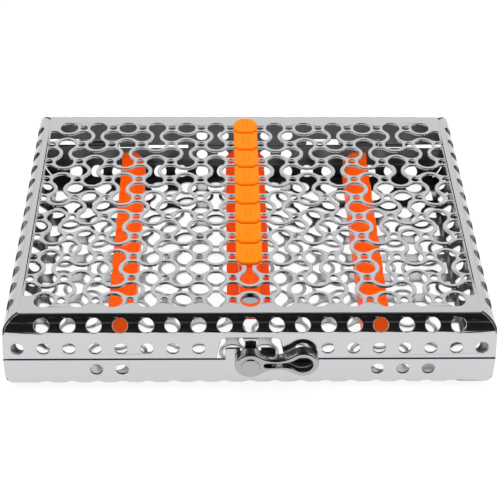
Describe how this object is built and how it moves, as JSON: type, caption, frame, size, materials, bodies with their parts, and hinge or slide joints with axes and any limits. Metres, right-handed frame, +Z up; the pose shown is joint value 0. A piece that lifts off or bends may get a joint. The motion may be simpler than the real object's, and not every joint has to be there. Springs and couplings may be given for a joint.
{
  "type": "instrument cassette",
  "caption": "Perforated stainless steel cassette with a hinged lid, orange silicone rails and hold-down inside, and a turning latch at the front.",
  "frame": {"origin": "centre of the footprint, on the surface that the closed cassette stands on", "axes": "+X to the right seen from the latch side, +Y towards the hinges at the back, +Z up"},
  "size_m": [0.2032, 0.1657, 0.0396],
  "materials": {
    "stainless_steel": "electropolished sheet",
    "orange_silicone": "satin moulded silicone"
  },
  "bodies": {
    "base": {"base_grille": "stainless_steel", "base_front_wall": "stainless_steel", "base_back_wall": "stainless_steel", "base_left_wall": "stainless_steel", "base_right_wall": "stainless_steel", "left_rail": "orange_silicone", "right_rail": "orange_silicone", "hinge_pin_left": "stainless_steel", "hinge_pin_right": "stainless_steel", "latch_rivet": "stainless_steel", "latch_bush": "stainless_steel", "latch_spring_washer": "stainless_steel", "latch_backing_washer": "stainless_steel"},
    "lid": {"lid_grille": "stainless_steel", "lid_front_wall": "stainless_steel", "lid_back_wall": "stainless_steel", "lid_left_wall": "stainless_steel", "lid_right_wall": "stainless_steel", "lid_keeper": "stainless_steel", "hold_down": "orange_silicone", "hold_down_stud": "stainless_steel"},
    "latch_lever": {"latch_lever": "stainless_steel"}
  },
  "joints": [
    {"name": "lid_hinge", "type": "hinge", "parent": "base", "child": "lid", "pos_m": [0, 0.08043, 0.018], "axis": [-1, 0, 0], "range_deg": [0, 110]},
    {"name": "latch_turn", "type": "hinge", "parent": "base", "child": "latch_lever", "pos_m": [0, -0.0807, 0.018], "axis": [0, -1, 0], "range_deg": [0, 90]}
  ]
}
